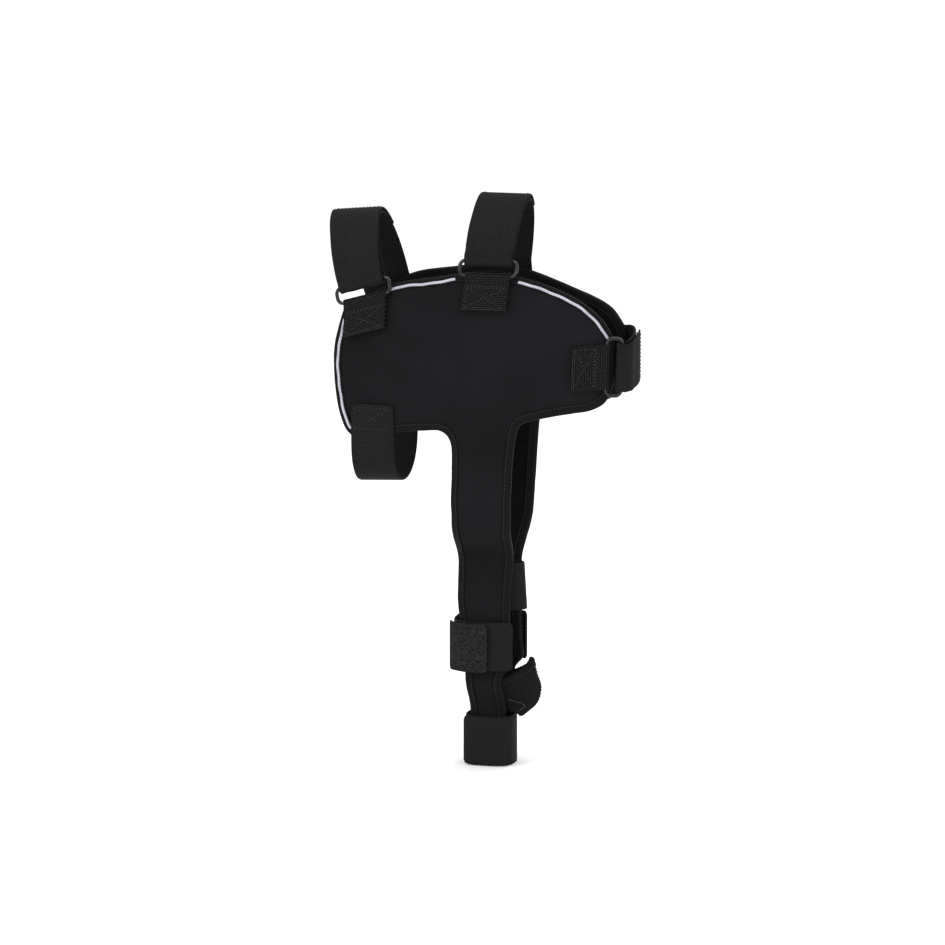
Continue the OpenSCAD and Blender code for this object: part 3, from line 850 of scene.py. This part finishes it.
def arch_across(place, crown):
    crown = vec(*crown)
    made = []
    for i in range(1, STEPS + 1):
        t = i / STEPS
        if t < 0.5:
            made.append(unit(mix(place.across, crown, ease(2 * t))))
        else:
            made.append(unit(mix(crown, mirrored(place.across), ease(2 * t - 1))))
    return made


def strap_half(t):
    return mix(GATHERED_W, STRAP_W, ease(5 * t)) / 2


def gathers(u, at):
    """Soft creases where the elastic is drawn through its ring."""
    return 0.28 * math.exp(-at / 16) * math.sin(u * 0.55 + 0.6 * math.sin(u * 0.21))


def strap(name, fastener):
    place = fastener["place"]
    far = place.far()
    span = arch(place, fastener)
    far_along, far_l = fastener["far_along"], fastener["far_l"]
    down = [far.spot(0, along, FAR_LIFT) for along in np.linspace(far_along, -far_l, 13)[1:]]
    centres = span + down
    across = arch_across(place, fastener["crown"]) + [mirrored(place.across)] * len(down)
    halves = [strap_half(i / STEPS) for i in range(1, STEPS + 1)] + [STRAP_W / 2] * len(down)
    course = round_ends(stations(centres, across, halves), 2.5, ends=(1,))
    piece = ribbon(name, course, ELASTIC_T, columns=14, ripple=gathers)
    dress(piece, ELASTIC, "hip")
    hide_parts(name)
    lift = FAR_LIFT + ELASTIC_T / 2

    def corner(a, b):
        along = mix(-far_l + 3, -8.0, (b + 1) / 2)
        return far.spot(a * (STRAP_W / 2 - 3.5), along, lift), far.out

    thread = stitches(name + "_stitches", box_and_cross(corner), pitch=3.0, radius=0.34)
    dress(thread, THREAD, "hip")
    return piece


def tongue(name, patch_name, fastener, body):
    """The strap's fold round the ring and its free end over it, with the hook patch in its tip."""
    place = fastener["place"]
    hinge = place.spot(0, RING_H + STUB_L + ELASTIC_T / 2 + GAP, BAR_LIFT + FOLD_MID)
    course = stations(arch(place, fastener), arch_across(place, fastener["crown"]),
                     [strap_half(i / STEPS) for i in range(1, STEPS + 1)])
    used = course[: round(fastener["to"] * STEPS)]
    lift_at_end = ELASTIC_T + HOOK_T + 2 * GAP
    lifts = [mix(2 * FOLD_MID, lift_at_end, ease((i / STEPS * 20 - 0.5) / 5))
             for i in range(1, len(used) + 1)]
    rest = [s for s in lifted(used, lifts) if (s[0] - hinge).dot(place.along) > 1.0]
    first = (hinge, place.across, place.out, GATHERED_W / 2)
    fold = fold_centres(place)[::-1]
    count = len(fold) + 1
    turn = stations(fold + [hinge], [place.across] * count, [GATHERED_W / 2] * count)
    path = round_ends(turn[:-1] + [first] + rest, 2.0, ends=(1,))
    piece = ribbon(name, path, ELASTIC_T, columns=14, ripple=gathers)
    dress(piece, ELASTIC, None)
    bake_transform(piece)
    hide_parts(name)
    drop = ELASTIC_T / 2 + GAP + HOOK_T / 2
    patch_path = [(c - n * drop, a, n, h - 2) for c, a, n, h in path[-19:-1]]
    patch = ribbon(patch_name, patch_path, HOOK_T, columns=14)
    dress(patch, HOOK, body)
    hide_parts(patch_name)
    lines = []
    for share in (path[-4], path[-18]):
        c, a, n, h = share
        points = [c + a * u + n * ELASTIC_T / 2 for u in np.linspace(-h + 2.5, h - 2.5, 12)]
        lines.append((points, [n] * 12))
    for side in (-1, 1):
        points = [c + a * side * (h - 2.8) + n * ELASTIC_T / 2 for c, a, n, h in path[-18:-3]]
        lines.append((points, [s[2] for s in path[-18:-3]]))
    thread = stitches(name + "_stitches", lines, pitch=3.0, radius=0.3)
    dress(thread, THREAD, body)
    return piece


# ---- Belly strap and calf band ----
def belly_strap(name="belly_strap"):
    x, drop_by = -85.0, 39.0
    sewn = [over(NEAR, x, z, FAR_LIFT) for z in np.linspace(-43, -67, 13)]
    start = over(NEAR, x, -73, FAR_LIFT)
    loop = []
    for i in range(STEPS + 1):
        t = math.pi * i / STEPS
        bag = 1 + 0.06 * math.sin(t) ** 2
        loop.append(vec(x, start[1] * math.cos(t) * bag, start[2] - drop_by * math.sin(t) ** 0.86))
    centres = sewn + loop + [mirrored(p) for p in sewn[::-1]]
    centres = list(rounded(resample(centres, 1.6), 4))
    count = len(centres)
    across = []
    for i, p in enumerate(centres):
        tilt = over(NEAR, x + 1, max(p[2], -67)) - over(NEAR, x - 1, max(p[2], -67))
        side = -p[1] / abs(start[1])
        across.append(unit(vec(tilt[0], tilt[1] * side, 0.08 * math.sin(math.pi * i / count))))
    course = round_ends(stations(centres, across, [BELLY_W / 2] * count), 4.0)
    piece = ribbon(name, course, ELASTIC_T, columns=14)
    dress(piece, ELASTIC, "hip")
    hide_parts(name)
    lines = []
    for side in (NEAR, FAR):
        def corner(a, b, side=side):
            px, pz = x + a * (BELLY_W / 2 - 3.2), mix(-63.5, -46.0, (b + 1) / 2)
            return over(side, px, pz, FAR_LIFT + ELASTIC_T / 2), normal(side, px, pz)
        lines += box_and_cross(corner)
    thread = stitches("belly_strap_stitches", lines, pitch=3.0, radius=0.34)
    dress(thread, THREAD, "hip")
    return piece


def calf_band(name="calf_band"):
    """A fixed elastic band behind the calf, from panel to panel."""
    middle_x, reach, half_depth = 18.5, 17.5, 11.2
    middle_z, half = -198.0, 20.0
    turn = [math.radians(a) for a in range(-90, 91, 5)]
    centres = [vec(middle_x + reach * math.cos(a), half_depth * math.sin(a), middle_z) for a in turn]
    tilt = unit(vec(-0.06, 0, 1))
    count = len(centres)
    piece = ribbon(name, stations(centres, [tilt] * count, [half] * count), ELASTIC_T, columns=14)
    dress(piece, ELASTIC, "shank")
    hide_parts(name)
    return piece


# ---- Cuffs ----
SHIN = (8.0, 30.0, 32.3, -266.0, -225.0)     # centre x, half length, half depth, bottom, top
FOOT = (7.5, 20.8, 18.0, -350.0, -308.0)
FLAP_LOW = HOOK_T + 2 * GAP


def cuff_point(cuff, angle, by=0.0):
    """A point of a cuff's rounded section, by distance from its face."""
    c, s, p = math.cos(math.radians(angle)), math.sin(math.radians(angle)), 2 / 3.2
    return (cuff[0] + (cuff[1] + by) * math.copysign(abs(c) ** p, c),
            (cuff[2] + by) * math.copysign(abs(s) ** p, s))


def band(name, cuff, start, end, low, thickness, bottom, top, material, body, closed=False):
    """Part of a cuff between two angles, standing low off its face."""
    points = [cuff_point(cuff, a, low + thickness / 2) for a in np.linspace(start, end, 145)]
    line = resample(points, 1.4)
    if closed:
        line = line[:-1]
    middle = (bottom + top) / 2
    centres = [vec(x, y, middle) for x, y in line]
    halves = [(top - bottom) / 2 + 0.25 * wobble(i, 3, 0, 7) for i in range(len(centres))]
    course = stations(centres, [vec(0, 0, 1)] * len(centres), halves, closed)
    if not closed:
        course = round_ends(course, 2.5)
    piece = ribbon(name, course, thickness, closed=closed, columns=14)
    dress(piece, material, body)
    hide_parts(name)
    return piece, course


def band_rows(name, course, lift, insets, body, ends=(), material=None):
    """Rows of stitches along a band's edges and across it at the given stations."""
    lines = []
    for side in (-1, 1):
        for inset in insets:
            points = [c + a * side * (h - inset) + n * lift for c, a, n, h in course]
            lines.append((points, [s[2] * math.copysign(1, lift) for s in course]))
    for k in ends:
        c, a, n, h = course[k]
        points = [c + a * u + n * lift for u in np.linspace(-h + 2, h - 2, 14)]
        lines.append((points, [n * math.copysign(1, lift)] * 14))
    return dress(stitches(name, lines, pitch=3.0, radius=0.3, material=material),
                 material or THREAD, body)


# ---- Hock cup ----
CUP_EDGE = [(16, -279), (16, -286), (17, -293), (19, -300), (23.5, -305)]
CUP_RIDGE = [(44, -261), (47, -272), (50.5, -284), (47, -298), (34.5, -310)]
CUP_T, CUP_HALF = 3.0, 19.5
CAD_BINDING_RISE = 0.7
CUP_CURVE = smooth([e + r for e, r in zip(CUP_EDGE, CUP_RIDGE)], 7)


def cup_point(row, s, inset, side):
    inside = depth(row[0], row[1]) - NEOPRENE_T - 2 * CAD_BINDING_RISE - 2 * GAP
    half = min(CUP_HALF, inside)
    return vec(mix(row[0], row[2] - inset, math.sin(math.pi / 2 * s)),
               side * (half - inset) * math.cos(math.pi / 2 * s), mix(row[1], row[3], s))


def cup_line():
    """Places round the cup from the near edge over the ridge to the far edge."""
    shares = np.linspace(0, 1, 25)
    return [(s, NEAR) for s in shares] + [(s, FAR) for s in shares[-2::-1]]


def hock_cup():
    """Both halves of the cup, joined by a seam along the ridge."""
    around = cup_line()
    outer, inner = [], []
    for row in CUP_CURVE:
        for s, side in around:
            seam = math.exp(-((1 - s) / 0.05) ** 2)
            p = cup_point(row, s, 0.9 * seam, side)
            outer.append(p + vec(0, side * 0.35 * wobble(p[0], p[1], p[2], 12), 0))
            inner.append(cup_point(row, s, CUP_T, side))
    cols = len(around)
    piece = two_faced("hock_cup", outer, inner, cols, lambda k: (k % cols * 1.4, k // cols * 1.6))
    dress(piece, KNIT, "shank")
    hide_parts("near_hock_cup", "far_hock_cup")
    return piece


def cup_binding():
    """Folded tape over the cup's top edge."""
    row = CUP_CURVE[0]
    below = CUP_CURVE[2]
    rows, path = [], []
    for s, side in cup_line():
        top, low = cup_point(row, s, 0, side), cup_point(below, s, 0, side)
        inside = cup_point(row, s, CUP_T, side)
        up, out = unit(top - low), unit(top - inside)
        path.append(top)
        ring = []
        for a in range(-30, 211, 30):
            t = math.radians(a)
            ring.append((top + inside) / 2 + out * (CUP_T / 2 + 0.9) * math.cos(t)
                        + up * (0.4 + 2.2 * max(math.sin(t), -0.2)))
        ring.append((top + inside) / 2 - out * (CUP_T / 2 + 0.7) - up * 3.6)
        ring.append((top + inside) / 2 + out * (CUP_T / 2 + 0.7) - up * 3.6)
        rows.append(ring)
    piece = sweep("hock_cup_binding", rows, lengths(rows[0]), lengths(path))
    dress(piece, BINDING, "shank")
    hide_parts("hock_cup_binding")
    return piece


def cup_stitches():
    """The binding's row, both sides of the centre seam, and the dart on the near side."""
    lines = []
    points, normals = [], []
    for s, side in cup_line():
        p, low = cup_point(CUP_CURVE[0], s, -0.7, side), cup_point(CUP_CURVE[3], s, -0.7, side)
        out = unit(cup_point(CUP_CURVE[0], s, 0, side) - cup_point(CUP_CURVE[0], s, CUP_T, side))
        points.append(p + unit(low - p) * 2.6)
        normals.append(out)
    lines.append((points, normals))
    for side in (NEAR, FAR):
        points, normals = [], []
        for row in CUP_CURVE:
            p = cup_point(row, 0.9, 0, side)
            out = unit(p - cup_point(row, 0.9, CUP_T, side))
            points.append(p + out * 0.1)
            normals.append(out)
        lines.append((points, normals))
    dart = [(16, 0.12), (22, 0.50), (26, 0.36)]
    points, normals = [], []
    for (low_row, low_s), (high_row, high_s) in zip(dart, dart[1:]):
        for t in np.linspace(0, 1, 8):
            row = CUP_CURVE[round(mix(low_row, high_row, t))]
            s = mix(low_s, high_s, t)
            out = unit(cup_point(row, s, 0, NEAR) - cup_point(row, s, CUP_T, NEAR))
            points.append(cup_point(row, s, 0, NEAR) + out * 0.2)
            normals.append(out)
    pale = stitches("hock_cup_dart", [(points, normals)], pitch=2.2, length=1.9, radius=0.26,
                    material=PALE_THREAD)
    dress(pale, PALE_THREAD, "shank")
    thread = stitches("hock_cup_stitches", lines, pitch=2.6, length=1.9, radius=0.28)
    return dress(thread, THREAD, "shank"), pale


# ---- Studio ----
def studio():
    """A pale floor under the foot cuff, soft lights and the camera."""
    low = cad_box[0].z
    size = 12.0
    floor = bpy.data.meshes.new("floor")
    floor.from_pydata([(-size, -size, low), (size, -size, low), (size, size, low), (-size, size, low)],
                      [], [(0, 1, 2, 3)])
    floor = bpy.data.objects.new("floor", floor)
    bpy.context.scene.collection.objects.link(floor)
    floor.data.materials.append(floor_material())

    world = bpy.data.worlds.new("studio")
    bpy.context.scene.world = world
    world.use_nodes = True
    world.node_tree.nodes["Background"].inputs[0].default_value = (1.0, 1.0, 1.0, 1)
    world.node_tree.nodes["Background"].inputs[1].default_value = 1.1
    bpy.context.scene.view_settings.view_transform = "Standard"

    aim = Vector((0, 0, -0.1))
    for name, place, width, power in (
            ("key", (-1.1, -1.6, 1.3), 1.0, 16), ("fill", (1.7, -1.2, 0.5), 1.2, 5),
            ("top", (0.2, 0.3, 1.8), 1.0, 9), ("back", (0.6, 1.8, 0.9), 1.0, 6)):
        light = bpy.data.lights.new(name, "AREA")
        light.size = width
        light.energy = power
        lamp = bpy.data.objects.new(name, light)
        lamp.location = place
        lamp.rotation_euler = (aim - Vector(place)).to_track_quat("-Z", "Y").to_euler()
        bpy.context.scene.collection.objects.link(lamp)

    azimuth, elevation, distance = math.radians(14), math.radians(10), 6.57
    back = Vector((math.sin(azimuth) * math.cos(elevation), -math.cos(azimuth) * math.cos(elevation),
                   math.sin(elevation)))
    camera = bpy.data.objects.new("camera", bpy.data.cameras.new("camera"))
    camera.data.lens = 300
    camera.data.sensor_width = 36
    camera.data.clip_end = 100
    camera.location = Vector((-0.0042, -0.0193, -0.1005)) + back * distance
    camera.rotation_euler = (-back).to_track_quat("-Z", "Y").to_euler()
    bpy.context.scene.collection.objects.link(camera)
    bpy.context.scene.camera = camera


# ---- The brace ----
def build_panels():
    for word, side in (("near", NEAR), ("far", FAR)):
        sheet = panel(word + "_panel", side, [word + "_hip_panel", word + "_shank_panel"])
        edge = binding(word + "_binding", side, [word + "_hip_binding", word + "_shank_binding"])
        thread = edge_stitches(word + "_edge_stitches", side)
        for piece in (sheet, edge, thread):
            bend_at_knee(piece)
        line = piping(word + "_reflective_piping", side, word + "_reflective_piping")


def build_fasteners():
    for word, fastener in FASTENERS.items():
        ring_tab(word + "_ring_tab", fastener["place"])
        strap(word + "_strap", fastener)
        tongue(word + "_strap_tongue", word + "_hook_patch", fastener, word + "_tongue")
        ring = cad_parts[word + "_ring"]
        ring.data.materials.clear()
        ring.data.materials.append(METAL)


def build_shin_cuff():
    cuff, line = band("shin_cuff", SHIN, 45, 315, -ELASTIC_T, ELASTIC_T, SHIN[3], SHIN[4],
                      ELASTIC, "shank")
    thread = band_rows("shin_cuff_stitches", line, ELASTIC_T / 2, (), "shank", ends=(3, -4))
    flap, line = band("shin_cuff_tongue", SHIN, 205, 272, FLAP_LOW, ELASTIC_T,
                      SHIN[3] - 1.5, SHIN[4] - 1, LOOP, "shin_tongue")
    patch, _ = band("shin_hook_patch", SHIN, 232, 270, GAP, HOOK_T, SHIN[3] + 1.5, SHIN[4] - 3,
                    HOOK, "shin_tongue")
    thread = band_rows("shin_tongue_stitches", line, ELASTIC_T / 2, (2.2,), "shin_tongue", ends=(2, -3))


def build_foot_cuff():
    cuff, line = band("foot_cuff", FOOT, 0, 360, -ELASTIC_T, ELASTIC_T, FOOT[3], FOOT[4],
                      ELASTIC, "shank", closed=True)
    flap, line = band("foot_cuff_tongue", FOOT, 322, 222, FLAP_LOW, ELASTIC_T, FOOT[3] + 1, FOOT[4],
                      ELASTIC, "foot_tongue")
    patch, _ = band("foot_hook_patch", FOOT, 290, 224, GAP, HOOK_T, FOOT[3] + 3, FOOT[4] - 2,
                    HOOK, "foot_tongue")
    thread = band_rows("foot_tongue_stitches", line, -ELASTIC_T / 2, (), "foot_tongue", ends=(2, -3))


def build_hock_cup():
    cup = hock_cup()
    edge = cup_binding()
    thread, dart = cup_stitches()
    around = lengths([cup_point(CUP_CURVE[14], s, 0, side) for s, side in cup_line()])[-1]


studio()
build_panels()
build_fasteners()
belly_strap()
calf_band()
build_shin_cuff()
build_foot_cuff()
build_hock_cup()
